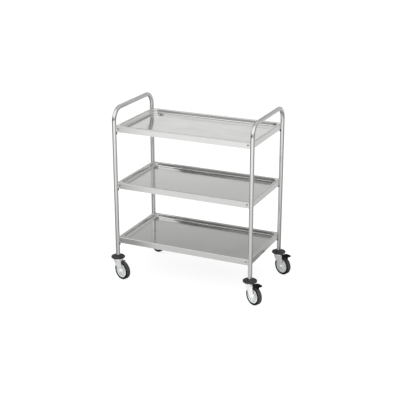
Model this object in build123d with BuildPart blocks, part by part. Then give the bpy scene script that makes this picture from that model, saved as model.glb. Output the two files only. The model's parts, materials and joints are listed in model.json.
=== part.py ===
from build123d import *
from math import atan, cos, degrees, radians, sin
import os

os.makedirs("parts", exist_ok=True)

# A three-tray serving trolley: two tube end frames, three pressed trays, four swivel castors.
# Lengths are in millimetres. X runs along the trays, Y from front to back, Z up from the floor.
# The origin is on the floor, midway between the four posts.

# Overall sizes
post_spacing_length = 760.0
post_spacing_depth = 420.0
overall_height = 940.0
tray_above_foot = 80.5
handle_rise = 119.0
tube_diameter = 22.0
tube_wall = 1.5
handle_bend_radius = 66.0

# Trays
fascia_height = 32.0
fascia_setback = 1.0
sheet = 1.0
rim_width = 13.0
tray_depth = 20.0
wall_lean = 5.0
tray_corner_radius = 35.0
floor_fillet = 6.0
rim_edge_fillet = 4.0
lip_width = 9.0
post_gap = 0.3

# Tray fixings
bracket_reach = 36.0
bracket_height = 20.0
bracket_thickness = 2.0
seat_gap = 0.05
bolt_diameter = 5.0
bolt_from_post = 23.0
bolt_above_edge = 18.0
bolt_head_diameter = 10.0
bolt_head_height = 2.8
bolt_head_fillet = 1.2
bolt_spare_length = 1.5
nut_flats = 8.0
nut_height = 4.0
rest_height = 13.0
rest_thickness = 3.6
rest_half_angle = 24.0

# Castor wheels
wheel_diameter = 100.0
tyre_width = 24.0
tyre_thickness = 12.0
tyre_shoulder = 4.0
rim_thickness = 4.0
rim_setback = 0.8
web_thickness = 5.0
hub_diameter = 24.0
hub_side_gap = 1.6
rib_count = 10
rib_thickness = 2.2
rib_setback = 2.5
guard_diameter = 40.0
guard_thickness = 1.0
guard_bore_gap = 0.6

# Castor forks
swivel_offset = 34.0
fork_gap = 31.0
fork_sheet = 2.5
fork_bend_radius = 2.5
crown_clearance = 1.5
crown_thickness = 3.0
crown_diameter = 50.0
crown_back_reach = 26.0
leg_foot_radius = 13.0
leg_front_reach = 17.0
leg_back_reach = 39.0
leg_shoulder = 9.0
cup_wall = 2.8
cup_height = 7.0

# Castor bearings and axle
stem_diameter = 12.0
stem_length_in_tube = 42.0
stem_head_diameter = 18.0
stem_head_height = 3.0
running_play = 0.05
face_gap = 0.3
ball_diameter = 6.0
ball_track_diameter = 32.0
ball_count = 12
race_diameter = 43.2
race_thickness = 2.9
race_boss_wall = 4.0
axle_diameter = 8.0
sleeve_wall = 2.0
axle_head_flats = 13.0
axle_head_height = 5.0
axle_nut_height = 6.5
axle_spare_length = 2.0
insert_length = 42.0

# Wall bumpers
bumper_diameter = 74.0
bumper_foot_diameter = 50.0
bumper_shoulder_diameter = 62.0
bumper_dish = 2.0
bumper_rim_height = 6.5
bumper_top_slope = 1.3
bumper_collar_wall = 3.0
bumper_collar_rise = 2.2
bumper_seat_depth = 6.0
bumper_edge_fillet = 1.5

# Brake pedals
pedal_pivot_along = 33.0
pedal_pivot_rise = 6.5
pedal_pin_diameter = 5.0
pedal_hub_diameter = 9.0
pedal_side_gap = 1.0
pedal_arm_thickness = 5.0
pedal_paddle_start = 45.0
pedal_paddle_end = 82.0
pedal_paddle_bottom_rise = 11.5
pedal_paddle_thickness = 6.5
pedal_ramp_length = 6.0
pedal_width = 30.0
pedal_corner_radius = 7.0
pedal_edge_fillet = 1.2
ear_radius = 5.5
shoe_along = 62.0
shoe_length = 7.0
shoe_width = 12.0
shoe_gap = 5.2

# Every cut runs past its faces by this much; edges are picked when they lie this near a level
overrun = 1.0
pick_margin = 0.05

# How far each castor trails to the front of straight right, in degrees, as it stands at rest
trail_angles = {"left_front": 20.0, "right_front": 28.0, "left_back": 22.0, "right_back": 25.0}
corner_signs = {"left_front": (-1, -1), "right_front": (1, -1), "left_back": (-1, 1), "right_back": (1, 1)}
braked_corners = ("right_front", "right_back")

# Sizes worked out from the ones above
post_x = post_spacing_length / 2
post_y = post_spacing_depth / 2
post_places = [(sx * post_x, sy * post_y) for sx, sy in corner_signs.values()]
tube_radius = tube_diameter / 2
tube_bore_radius = tube_radius - tube_wall
handle_z = overall_height - tube_radius
top_edge_z = handle_z - handle_rise
shelf_length = post_spacing_length - 2 * fascia_setback
shelf_depth = post_spacing_depth - 2 * fascia_setback
fascia_y = shelf_depth / 2
bracket_y = fascia_y - sheet
nut_y = bracket_y - bracket_thickness
bolt_x = post_x - bolt_from_post
notch_radius = tube_radius + post_gap
post_seat_radius = tube_radius + seat_gap
bolt_hole_radius = bolt_diameter / 2 + seat_gap
wheel_radius = wheel_diameter / 2
rim_radius = wheel_radius - tyre_thickness
sleeve_radius = axle_diameter / 2 + sleeve_wall
axle_hole_radius = axle_diameter / 2 + seat_gap
hub_half_width = fork_gap / 2 - hub_side_gap
fork_half_width = fork_gap / 2 + fork_sheet
crown_z = wheel_diameter + crown_clearance
crown_top_z = crown_z + crown_thickness
ball_centre_z = crown_top_z + running_play + ball_diameter / 2
race_z = ball_centre_z + ball_diameter / 2 + running_play
bumper_z = race_z + race_thickness
bumper_rim_z = bumper_z + bumper_dish
bumper_top_z = bumper_rim_z + bumper_rim_height
collar_top_z = bumper_top_z + bumper_top_slope + bumper_collar_rise
tube_foot_z = bumper_z + bumper_seat_depth
bottom_edge_z = tube_foot_z + tray_above_foot
shelf_levels = {
    "shelf_top": top_edge_z,
    "shelf_middle": (top_edge_z + bottom_edge_z) / 2,
    "shelf_bottom": bottom_edge_z,
}
stem_radius = stem_diameter / 2
stem_seat_radius = stem_radius + seat_gap
pivot_z = wheel_diameter + pedal_pivot_rise
paddle_z = wheel_diameter + pedal_paddle_bottom_rise
pedal_hub_half_width = fork_gap / 2 - pedal_side_gap


def castor_plane(corner):
    """The floor plane under a post, with its X along the castor's trailing direction."""
    sx, sy = corner_signs[corner]
    turn = radians(trail_angles[corner])
    return Plane(
        origin=(sx * post_x, sy * post_y, 0), x_dir=(cos(turn), -sin(turn), 0), z_dir=(0, 0, 1)
    )


def side_plane(base, across):
    """An upright plane along the castor, at a distance across it; an extrusion comes towards the front."""
    return Plane(
        origin=base.from_local_coords(Vector(0, across, 0)), x_dir=base.x_dir, z_dir=-base.y_dir
    )


def axle_plane(base, along=0):
    """An upright plane at the wheel's centre, along the axle, whose X is the axle's direction."""
    centre = base.from_local_coords(Vector(swivel_offset + along, 0, wheel_radius))
    return Plane(origin=centre, x_dir=base.y_dir, z_dir=base.x_dir)


def axle_axis(base):
    """The line that the wheel turns about."""
    return Axis(base.from_local_coords(Vector(swivel_offset, 0, wheel_radius)), base.y_dir)


def stem_axis(base):
    """The line that the castor swivels about."""
    return Axis(base.origin, base.z_dir)


def save(built, name):
    """Names a finished piece and writes it out."""
    built.part.label = name
    export_step(built.part, f"parts/{name}.step")


# End frames: one bent tube each, that makes two posts and a push handle
def make_end_frame(side, name):
    upright = Plane(origin=(side * post_x, 0, 0), x_dir=(0, 1, 0), z_dir=(1, 0, 0))
    foot = Plane(origin=(side * post_x, -post_y, tube_foot_z), x_dir=(1, 0, 0), z_dir=(0, 0, 1))
    with BuildPart() as end_frame:
        with BuildLine(upright):
            FilletPolyline(
                (-post_y, tube_foot_z),
                (-post_y, handle_z),
                (post_y, handle_z),
                (post_y, tube_foot_z),
                radius=handle_bend_radius,
            )
        with BuildSketch(foot):
            Circle(tube_radius)
            Circle(tube_bore_radius, mode=Mode.SUBTRACT)
        sweep()
    save(end_frame, name)


# Trays: a flat rim, leaning walls, a sunk floor, a fascia folded down and a lip folded in
def tray_plan(inset, notch):
    """The tray's outline from above, drawn in by a distance, with a round notch at each post."""
    Rectangle(shelf_length - 2 * inset, shelf_depth - 2 * inset)
    with Locations(*post_places):
        Circle(notch, mode=Mode.SUBTRACT)


def level_edges(built, z):
    """The edges that lie at one height."""
    return built.edges().filter_by_position(Axis.Z, z - pick_margin, z + pick_margin)


def well_edges(built, z):
    """The edges around the well at one height, without the tray's outer edges and its notches."""
    around_well = level_edges(built, z).filter_by(
        lambda edge: abs(edge.center().X) < post_x - tube_diameter - rim_width / 2
        or abs(edge.center().Y) < post_y - tube_diameter - rim_width / 2
    )
    return around_well.filter_by(
        lambda edge: abs(edge.center().X) < shelf_length / 2 - rim_width / 2
        and abs(edge.center().Y) < fascia_y - rim_width / 2
    )


def make_shelf(name, edge_z):
    rim_z = edge_z + fascia_height
    floor_z = rim_z - tray_depth
    floor_length = shelf_length - 2 * (rim_width + wall_lean)
    floor_depth = shelf_depth - 2 * (rim_width + wall_lean)
    floor_radius = tray_corner_radius - wall_lean
    lean_angle = degrees(atan(wall_lean / tray_depth))
    with BuildPart() as shelf:
        with BuildSketch(Plane.XY.offset(edge_z)):
            tray_plan(0, notch_radius)
        extrude(amount=fascia_height)
        with BuildSketch(Plane.XY.offset(edge_z + sheet)):
            tray_plan(sheet, notch_radius)
        extrude(amount=fascia_height - 2 * sheet, mode=Mode.SUBTRACT)
        with BuildSketch(Plane.XY.offset(edge_z)):
            tray_plan(lip_width, notch_radius + lip_width)
        extrude(amount=sheet, mode=Mode.SUBTRACT)
        fillet(level_edges(shelf, rim_z - sheet).filter_by(GeomType.LINE), radius=rim_edge_fillet - sheet)
        fillet(level_edges(shelf, rim_z).filter_by(GeomType.LINE), radius=rim_edge_fillet)
        with BuildSketch(Plane.XY.offset(floor_z - sheet)):
            RectangleRounded(floor_length + 2 * sheet, floor_depth + 2 * sheet, floor_radius + sheet)
        extrude(amount=tray_depth, taper=-lean_angle)
        with BuildSketch(Plane.XY.offset(floor_z)):
            RectangleRounded(floor_length, floor_depth, floor_radius)
        extrude(amount=tray_depth, taper=-lean_angle, mode=Mode.SUBTRACT)
        fillet(level_edges(shelf, floor_z), radius=floor_fillet)
        fillet(level_edges(shelf, floor_z - sheet), radius=floor_fillet + sheet)
        fillet(well_edges(shelf, rim_z - sheet), radius=rim_edge_fillet - sheet)
        fillet(well_edges(shelf, rim_z), radius=rim_edge_fillet)
        for side in (-1, 1):
            with BuildSketch(fascia_plane(side, side * (fascia_y + overrun), edge_z)):
                with Locations((-bolt_x, 0), (bolt_x, 0)):
                    Circle(bolt_hole_radius)
            extrude(amount=-(sheet + 2 * overrun), mode=Mode.SUBTRACT)
    save(shelf, name)


def fascia_plane(side, y, edge_z):
    """An upright plane at the height of a tray's bolts, that faces outward at one long side."""
    return Plane(origin=(0, y, edge_z + bolt_above_edge), x_dir=(1, 0, 0), z_dir=(0, side, 0))


# Corner brackets: plates on the posts behind the long fascias
def make_corner_brackets():
    with BuildPart() as corner_brackets:
        for edge_z in shelf_levels.values():
            for side in (-1, 1):
                with BuildSketch(fascia_plane(side, side * nut_y, edge_z)):
                    for end in (-1, 1):
                        with Locations((end * (post_x - bracket_reach / 2), 0)):
                            Rectangle(bracket_reach, bracket_height)
                        with Locations((end * bolt_x, 0)):
                            Circle(bolt_hole_radius, mode=Mode.SUBTRACT)
                extrude(amount=bracket_thickness)
        with BuildSketch(Plane.XY):
            with Locations(*post_places):
                Circle(post_seat_radius)
        extrude(amount=overall_height, mode=Mode.SUBTRACT)
    save(corner_brackets, "corner_brackets")


# Bolts and nuts: a pan-head bolt through each fascia and bracket, with a nut behind
def make_shelf_bolts():
    shank_length = sheet + bracket_thickness + nut_height + bolt_spare_length
    with BuildPart() as shelf_bolts:
        for edge_z in shelf_levels.values():
            for side in (-1, 1):
                with BuildSketch(fascia_plane(side, side * fascia_y, edge_z)):
                    with Locations((-bolt_x, 0), (bolt_x, 0)):
                        Circle(bolt_head_diameter / 2)
                extrude(amount=bolt_head_height)
        head_face_y = fascia_y + bolt_head_height
        head_edges = shelf_bolts.edges().filter_by(
            lambda edge: edge.geom_type == GeomType.CIRCLE and abs(edge.center().Y) > head_face_y - pick_margin
        )
        fillet(head_edges, radius=bolt_head_fillet)
        for edge_z in shelf_levels.values():
            for side in (-1, 1):
                with BuildSketch(fascia_plane(side, side * fascia_y, edge_z)):
                    with Locations((-bolt_x, 0), (bolt_x, 0)):
                        Circle(bolt_diameter / 2)
                extrude(amount=-shank_length)
    save(shelf_bolts, "shelf_bolts")


def make_shelf_nuts():
    with BuildPart() as shelf_nuts:
        for edge_z in shelf_levels.values():
            for side in (-1, 1):
                with BuildSketch(fascia_plane(side, side * nut_y, edge_z)):
                    with Locations((-bolt_x, 0), (bolt_x, 0)):
                        RegularPolygon(nut_flats / 2, 6, major_radius=False)
                        Circle(bolt_hole_radius, mode=Mode.SUBTRACT)
                extrude(amount=-nut_height)
    save(shelf_nuts, "shelf_nuts")


# Shelf rests: a curved block on the inner side of each post, just under the tray's corner
def make_shelf_rests():
    outer = post_seat_radius + rest_thickness
    with BuildPart() as shelf_rests:
        for edge_z in shelf_levels.values():
            for sx, sy in corner_signs.values():
                inward = Plane(
                    origin=(sx * post_x, sy * post_y, edge_z), x_dir=(-sx, -sy, 0), z_dir=(0, 0, -1)
                )
                with BuildSketch(inward):
                    with BuildLine():
                        outer_arc = CenterArc((0, 0), outer, -rest_half_angle, 2 * rest_half_angle)
                        inner_arc = CenterArc((0, 0), post_seat_radius, -rest_half_angle, 2 * rest_half_angle)
                        Line(outer_arc @ 0, inner_arc @ 0)
                        Line(outer_arc @ 1, inner_arc @ 1)
                    make_face()
                extrude(amount=rest_height)
    save(shelf_rests, "shelf_rests")


# Wall bumper: a dished disc with a collar that the tube's foot stands in
def make_bumper(corner):
    base = castor_plane(corner)
    collar_radius = post_seat_radius + bumper_collar_wall
    with BuildPart() as bumper:
        with BuildSketch(side_plane(base, 0)) as profile:
            with BuildLine():
                Polyline(
                    (stem_seat_radius, bumper_z),
                    (bumper_foot_diameter / 2, bumper_z),
                    (bumper_shoulder_diameter / 2, bumper_rim_z),
                    (bumper_diameter / 2, bumper_rim_z),
                    (bumper_diameter / 2, bumper_top_z),
                    (collar_radius, bumper_top_z + bumper_top_slope),
                    (collar_radius, collar_top_z),
                    (post_seat_radius, collar_top_z),
                    (post_seat_radius, tube_foot_z),
                    (stem_seat_radius, tube_foot_z),
                    close=True,
                )
            make_face()
            fillet(profile.vertices().sort_by(Axis.X)[-2:], radius=bumper_edge_fillet)
        revolve(axis=stem_axis(base))
    save(bumper, f"bumper_{corner}")


# Tube insert: the plug that holds the castor's stem in the post
def make_tube_insert(corner):
    base = castor_plane(corner)
    with BuildPart() as tube_insert:
        with BuildSketch(base.offset(tube_foot_z)):
            Circle(tube_bore_radius - seat_gap)
            Circle(stem_seat_radius, mode=Mode.SUBTRACT)
        extrude(amount=insert_length)
    save(tube_insert, f"tube_insert_{corner}")


# Swivel stem: the upright pin that the castor turns on, headed under the crown
def make_swivel_stem(corner):
    base = castor_plane(corner)
    head_top_z = crown_z - face_gap
    with BuildPart() as swivel_stem:
        with BuildSketch(base.offset(head_top_z - stem_head_height)):
            Circle(stem_head_diameter / 2)
        extrude(amount=stem_head_height)
        head_edges = level_edges(swivel_stem, head_top_z - stem_head_height)
        fillet(head_edges, radius=stem_head_height / 2)
        with BuildSketch(base.offset(head_top_z)):
            Circle(stem_radius)
        extrude(amount=tube_foot_z + stem_length_in_tube - head_top_z)
    save(swivel_stem, f"swivel_stem_{corner}")


# Top race: the fixed plate that the bearing balls run under, with a boss round the stem
def make_top_race(corner):
    base = castor_plane(corner)
    boss_bottom_z = crown_top_z + face_gap
    with BuildPart() as top_race:
        with BuildSketch(base.offset(race_z)):
            Circle(race_diameter / 2)
        extrude(amount=race_thickness)
        with BuildSketch(base.offset(boss_bottom_z)):
            Circle(stem_seat_radius + race_boss_wall)
        extrude(amount=race_z - boss_bottom_z)
        with BuildSketch(base.offset(boss_bottom_z - overrun)):
            Circle(stem_seat_radius)
        extrude(amount=bumper_z - boss_bottom_z + 2 * overrun, mode=Mode.SUBTRACT)
    save(top_race, f"top_race_{corner}")


# Fork: a pressed bridge with two legs to the axle and a cup for the balls
def make_fork(corner):
    base = castor_plane(corner)
    braked = corner in braked_corners
    crown_middle = (leg_back_reach - leg_front_reach) / 2
    with BuildPart() as fork:
        with BuildSketch(side_plane(base, fork_half_width)):
            with Locations((swivel_offset, wheel_radius)):
                Circle(leg_foot_radius)
            with Locations((crown_middle, crown_top_z - leg_shoulder / 2)):
                Rectangle(leg_front_reach + leg_back_reach, leg_shoulder)
            make_hull()
        extrude(amount=2 * fork_half_width)
        bend_edges = level_edges(fork, crown_top_z).filter_by(base_direction(base))
        fillet(bend_edges, radius=fork_bend_radius)
        if braked:
            with BuildSketch(side_plane(base, fork_half_width)):
                with Locations((pedal_pivot_along, pivot_z)):
                    Circle(ear_radius)
                with Locations((pedal_pivot_along, pivot_z - pedal_pivot_rise)):
                    Rectangle(2 * ear_radius, 2 * pedal_pivot_rise)
            extrude(amount=2 * fork_half_width)
        with BuildSketch(side_plane(base, fork_gap / 2)):
            with Locations((swivel_offset, wheel_radius)):
                Rectangle(2 * wheel_diameter, 2 * (crown_z - wheel_radius))
            with Locations((crown_back_reach + wheel_radius, crown_z)):
                Rectangle(2 * wheel_radius, wheel_diameter)
        extrude(amount=fork_gap, mode=Mode.SUBTRACT)
        with BuildSketch(base.offset(crown_z)):
            Circle(crown_diameter / 2)
        extrude(amount=crown_thickness + cup_height)
        with BuildSketch(base.offset(crown_top_z)):
            Circle(crown_diameter / 2 - cup_wall)
        extrude(amount=cup_height + overrun, mode=Mode.SUBTRACT)
        with BuildSketch(base.offset(crown_z - overrun)):
            Circle(stem_seat_radius)
        extrude(amount=crown_thickness + 2 * overrun, mode=Mode.SUBTRACT)
        with BuildSketch(side_plane(base, fork_half_width + overrun)):
            with Locations((swivel_offset, wheel_radius)):
                Circle(axle_hole_radius)
            if braked:
                with Locations((pedal_pivot_along, pivot_z)):
                    Circle(pedal_pin_diameter / 2 + seat_gap)
        extrude(amount=2 * (fork_half_width + overrun), mode=Mode.SUBTRACT)
    save(fork, f"fork_{corner}")


def base_direction(base):
    """A line along the castor's trailing direction, to pick the edges that run with it."""
    return Axis(base.origin, base.x_dir)


# Swivel balls: a full ring between the cup and the top race
def make_swivel_balls(corner):
    base = castor_plane(corner)
    with BuildPart() as swivel_balls:
        with Locations(base.offset(ball_centre_z)):
            with PolarLocations(ball_track_diameter / 2, ball_count):
                Sphere(ball_diameter / 2)
    save(swivel_balls, f"swivel_balls_{corner}")


# Axle bolt with its nut
def make_axle_bolt(corner):
    base = castor_plane(corner)
    shank_length = 2 * fork_half_width + axle_nut_height + axle_spare_length
    with BuildPart() as axle_bolt:
        with BuildSketch(side_plane(base, fork_half_width)):
            with Locations((swivel_offset, wheel_radius)):
                RegularPolygon(axle_head_flats / 2, 6, major_radius=False)
        extrude(amount=-axle_head_height)
        with BuildSketch(side_plane(base, fork_half_width)):
            with Locations((swivel_offset, wheel_radius)):
                Circle(axle_diameter / 2)
        extrude(amount=shank_length)
        with BuildSketch(side_plane(base, -fork_half_width)):
            with Locations((swivel_offset, wheel_radius)):
                RegularPolygon(axle_head_flats / 2, 6, major_radius=False)
                Circle(axle_hole_radius, mode=Mode.SUBTRACT)
        extrude(amount=axle_nut_height)
    save(axle_bolt, f"axle_bolt_{corner}")


# Axle sleeve: the spacer between the fork's legs that the wheel runs on
def make_axle_sleeve(corner):
    base = castor_plane(corner)
    with BuildPart() as axle_sleeve:
        with BuildSketch(side_plane(base, fork_gap / 2)):
            with Locations((swivel_offset, wheel_radius)):
                Circle(sleeve_radius)
                Circle(axle_hole_radius, mode=Mode.SUBTRACT)
        extrude(amount=fork_gap)
    save(axle_sleeve, f"axle_sleeve_{corner}")


# Tyre: a ring with rounded shoulders, bonded to the wheel centre
def make_tyre(corner):
    base = castor_plane(corner)
    with BuildPart() as tyre:
        with BuildSketch(axle_plane(base)) as profile:
            with Locations((0, (wheel_radius + rim_radius + seat_gap) / 2)):
                Rectangle(tyre_width, tyre_thickness - seat_gap)
            fillet(profile.vertices().sort_by(Axis.Y)[-2:], radius=tyre_shoulder)
        revolve(axis=axle_axis(base))
    save(tyre, f"tyre_{corner}")


# Wheel centre: a rim, a web with ribs and a hub that turns on the sleeve
def make_wheel_centre(corner):
    base = castor_plane(corner)
    rim_half_width = tyre_width / 2 - rim_setback
    rim_middle = rim_radius - rim_thickness / 2
    rib_half_width = rim_half_width - rib_setback
    hub_radius = hub_diameter / 2
    with BuildPart() as wheel_centre:
        with BuildSketch(axle_plane(base)):
            with Locations((0, rim_middle)):
                Rectangle(2 * rim_half_width, rim_thickness)
            with Locations((0, (rim_middle + hub_radius) / 2)):
                Rectangle(web_thickness, rim_middle - hub_radius + rim_thickness / 2)
            with Locations((0, (hub_radius + sleeve_radius + running_play) / 2)):
                Rectangle(2 * hub_half_width, hub_radius - sleeve_radius - running_play)
        revolve(axis=axle_axis(base))
        with BuildSketch(side_plane(base, rib_half_width)):
            with Locations((swivel_offset, wheel_radius)):
                with PolarLocations((rim_middle + hub_radius) / 2, rib_count):
                    Rectangle(rim_middle - hub_radius + rim_thickness / 2, rib_thickness)
        extrude(amount=2 * rib_half_width)
    save(wheel_centre, f"wheel_centre_{corner}")


# Thread guards: two discs that keep thread away from the hub
def make_thread_guards(corner):
    base = castor_plane(corner)
    with BuildPart() as thread_guards:
        for side in (-1, 1):
            with BuildSketch(side_plane(base, side * hub_half_width)):
                with Locations((swivel_offset, wheel_radius)):
                    Circle(guard_diameter / 2)
                    Circle(sleeve_radius + guard_bore_gap, mode=Mode.SUBTRACT)
            extrude(amount=-side * guard_thickness)
    save(thread_guards, f"thread_guards_{corner}")


# Brake: a pedal hinged on a pin through the fork's ears, with a shoe over the tyre
def make_brake_pedal(corner):
    base = castor_plane(corner)
    arm_bottom_z = pivot_z - pedal_arm_thickness / 2
    arm_top_z = pivot_z + pedal_arm_thickness / 2
    paddle_top_z = paddle_z + pedal_paddle_thickness
    ramp_start = pedal_paddle_start - pedal_ramp_length
    with BuildPart() as brake_pedal:
        with BuildSketch(side_plane(base, pedal_width / 2)):
            with BuildLine():
                Polyline(
                    (ramp_start, arm_top_z),
                    (pedal_paddle_start, paddle_top_z),
                    (pedal_paddle_end, paddle_top_z),
                    (pedal_paddle_end, paddle_z),
                    (pedal_paddle_start + pedal_ramp_length, paddle_z),
                    (pedal_paddle_start, arm_bottom_z),
                    (ramp_start, arm_bottom_z),
                    close=True,
                )
            make_face()
        extrude(amount=pedal_width)
        with BuildSketch(base.offset(arm_bottom_z - overrun)):
            with Locations((pedal_paddle_end - pedal_paddle_start / 2, 0)):
                Rectangle(pedal_paddle_start, pedal_width)
                RectangleRounded(pedal_paddle_start, pedal_width, pedal_corner_radius, mode=Mode.SUBTRACT)
            with Locations((pedal_paddle_end - pedal_paddle_start / 2 - pedal_corner_radius, 0)):
                Rectangle(pedal_paddle_start, pedal_width, mode=Mode.SUBTRACT)
        extrude(amount=paddle_top_z - arm_bottom_z + 2 * overrun, mode=Mode.SUBTRACT)
        fillet(level_edges(brake_pedal, paddle_top_z), radius=pedal_edge_fillet)
        with BuildSketch(side_plane(base, pedal_hub_half_width)):
            with Locations((pedal_pivot_along, pivot_z)):
                Circle(pedal_hub_diameter / 2)
            with Locations(((pedal_pivot_along + ramp_start) / 2, pivot_z)):
                Rectangle(ramp_start - pedal_pivot_along, pedal_arm_thickness)
        extrude(amount=2 * pedal_hub_half_width)
        with BuildSketch(side_plane(base, pedal_width / 2 + overrun)):
            with Locations((pedal_pivot_along, pivot_z)):
                Circle(pedal_pin_diameter / 2 + running_play)
        extrude(amount=pedal_width + 2 * overrun, mode=Mode.SUBTRACT)
    save(brake_pedal, f"brake_pedal_{corner}")


def make_brake_shoe(corner):
    base = castor_plane(corner)
    with BuildPart() as brake_shoe:
        with BuildSketch(side_plane(base, shoe_width / 2)):
            with Locations((shoe_along, paddle_z - wheel_radius / 2)):
                Rectangle(shoe_length, wheel_radius)
            with Locations((swivel_offset, wheel_radius)):
                Circle(wheel_radius + shoe_gap, mode=Mode.SUBTRACT)
        extrude(amount=shoe_width)
    save(brake_shoe, f"brake_shoe_{corner}")


def make_brake_pin(corner):
    base = castor_plane(corner)
    with BuildPart() as brake_pin:
        with BuildSketch(side_plane(base, fork_half_width)):
            with Locations((pedal_pivot_along, pivot_z)):
                Circle(pedal_pin_diameter / 2)
        extrude(amount=2 * fork_half_width)
    save(brake_pin, f"brake_pin_{corner}")


make_end_frame(-1, "end_frame_left")
make_end_frame(1, "end_frame_right")
for shelf_name, shelf_edge_z in shelf_levels.items():
    make_shelf(shelf_name, shelf_edge_z)
make_corner_brackets()
make_shelf_bolts()
make_shelf_nuts()
make_shelf_rests()
for corner_name in corner_signs:
    make_bumper(corner_name)
    make_tube_insert(corner_name)
    make_swivel_stem(corner_name)
    make_top_race(corner_name)
    make_fork(corner_name)
    make_swivel_balls(corner_name)
    make_axle_bolt(corner_name)
    make_axle_sleeve(corner_name)
    make_tyre(corner_name)
    make_wheel_centre(corner_name)
    make_thread_guards(corner_name)
for corner_name in braked_corners:
    make_brake_pedal(corner_name)
    make_brake_shoe(corner_name)
    make_brake_pin(corner_name)
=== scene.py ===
"""A serving trolley with three pressed trays, two bent tube end frames and four swivel castors.

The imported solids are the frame. This script dresses them with finer pieces, finishes, light and a camera.
Lengths are in metres. X runs along the trays, Y from front to back and Z up from the floor.
"""

import json
import math

import bmesh
import bpy
from mathutils import Matrix, Vector


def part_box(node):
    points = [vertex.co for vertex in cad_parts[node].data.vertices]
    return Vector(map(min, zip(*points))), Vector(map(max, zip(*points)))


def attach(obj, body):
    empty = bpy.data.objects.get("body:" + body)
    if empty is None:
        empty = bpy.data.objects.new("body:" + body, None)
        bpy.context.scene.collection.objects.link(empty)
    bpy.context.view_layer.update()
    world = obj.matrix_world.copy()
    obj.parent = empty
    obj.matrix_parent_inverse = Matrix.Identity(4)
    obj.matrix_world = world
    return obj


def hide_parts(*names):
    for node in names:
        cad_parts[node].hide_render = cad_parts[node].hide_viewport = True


bl_info = {
    "name": "Serving Trolley",
    "version": (1, 0, 0),
    "blender": (4, 5, 0),
    "location": "3D View > Sidebar > Trolley",
    "description": "Builds the looks of a three-tray serving trolley on its packed frame",
    "category": "Object",
}

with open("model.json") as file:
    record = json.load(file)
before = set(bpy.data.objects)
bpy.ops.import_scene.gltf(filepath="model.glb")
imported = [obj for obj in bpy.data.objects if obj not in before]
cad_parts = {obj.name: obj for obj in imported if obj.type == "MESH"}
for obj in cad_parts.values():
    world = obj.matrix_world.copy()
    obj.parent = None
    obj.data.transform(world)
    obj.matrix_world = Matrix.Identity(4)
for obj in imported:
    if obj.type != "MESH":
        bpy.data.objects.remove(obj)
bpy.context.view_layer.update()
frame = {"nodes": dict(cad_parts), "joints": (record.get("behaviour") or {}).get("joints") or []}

CORNERS = ("left_front", "right_front", "left_back", "right_back")
BRAKED_CORNERS = ("right_front", "right_back")
TRAYS = ("shelf_bottom", "shelf_middle", "shelf_top")
JOINTS = {joint["name"]: joint for joint in frame["joints"]}
UP = Vector((0, 0, 1))


# Places that come from the frame

def axes_at(place, *axes):
    """The matrix that sends X, Y and Z to three directions, from a place."""
    return Matrix.Translation(place) @ Matrix(axes).transposed().to_4x4()


def castor_matrix(corner):
    """The castor's axes: X the way it trails, Y along its axle, Z up from the floor under the post."""
    across = Vector(JOINTS["roll_" + corner]["axis"]).normalized()
    place = Vector(JOINTS["swivel_" + corner]["pos_m"])
    place.z = 0
    return axes_at(place, across.cross(UP), across, UP)


def wheel_matrix(corner):
    """The wheel's own axes: Z along the axle, from the wheel's centre."""
    across = Vector(JOINTS["roll_" + corner]["axis"]).normalized()
    along = across.cross(UP)
    return axes_at(Vector(JOINTS["roll_" + corner]["pos_m"]), along, across.cross(along), across)


# Mesh helpers

def pairs(items):
    """Each item with the one after it, and the last with the first."""
    return zip(items, items[1:] + items[:1])


def mirrored(side):
    """Corners (radius, height, rounding) on one side of Z = 0, and then their mirror image."""
    return side + [(radius, -height, rounding) for radius, height, rounding in reversed(side)]


def rounded(points, steps=6):
    """An outline through corners (a, b, radius), each made an arc of its radius."""
    outline = []
    for index, (a, b, radius) in enumerate(points):
        corner = Vector((a, b))
        first = (Vector(points[index - 1][:2]) - corner).normalized()
        second = (Vector(points[(index + 1) % len(points)][:2]) - corner).normalized()
        if radius <= 0 or first.dot(second) < -0.9999:
            outline.append(corner)
            continue
        half = first.angle(second) / 2
        reach = radius / math.tan(half)
        middle = corner + (first + second).normalized() * (radius / math.sin(half))
        start = corner + first * reach - middle
        turn = start.angle_signed(corner + second * reach - middle)
        for step in range(steps + 1):
            outline.append(middle + Matrix.Rotation(-turn * step / steps, 2) @ start)
    return outline


def cleaned(shape, reach=1e-7):
    """Merges corners that lie together and turns every face outward."""
    bmesh.ops.remove_doubles(shape, verts=shape.verts, dist=reach)
    bmesh.ops.recalc_face_normals(shape, faces=shape.faces)
    return shape


def spun(shape, outline, segments):
    """Adds an outline's (radius, height) points to a shape at each step of a turn round Z."""
    rings = []
    for step in range(segments):
        angle = 2 * math.pi * step / segments
        x, y = math.cos(angle), math.sin(angle)
        rings.append([shape.verts.new((radius * x, radius * y, height)) for radius, height in outline])
    return rings


def lathe(outline, segments=96):
    """Spins a closed outline of (radius, height) points round Z into a solid ring."""
    shape = bmesh.new()
    for here, there in pairs(spun(shape, outline, segments)):
        for (start, end), (next_start, next_end), points in zip(pairs(here), pairs(there), pairs(outline)):
            if max(points[0][0], points[1][0]) > 1e-7:
                shape.faces.new((start, next_start, next_end, end))
    return cleaned(shape)


def walled(shape, lower, upper):
    """Joins two loops of corners with faces."""
    for (start, end), (above_start, above_end) in zip(pairs(lower), pairs(upper)):
        shape.faces.new((start, end, above_end, above_start))


def slab(outline, low, high):
    """A closed solid between two heights over an outline of (x, y) points."""
    shape = bmesh.new()
    bottom = [shape.verts.new((x, y, low)) for x, y in outline]
    top = [shape.verts.new((x, y, high)) for x, y in outline]
    shape.faces.new(bottom)
    shape.faces.new(top)
    walled(shape, bottom, top)
    bmesh.ops.recalc_face_normals(shape, faces=shape.faces)
    return shape


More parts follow.
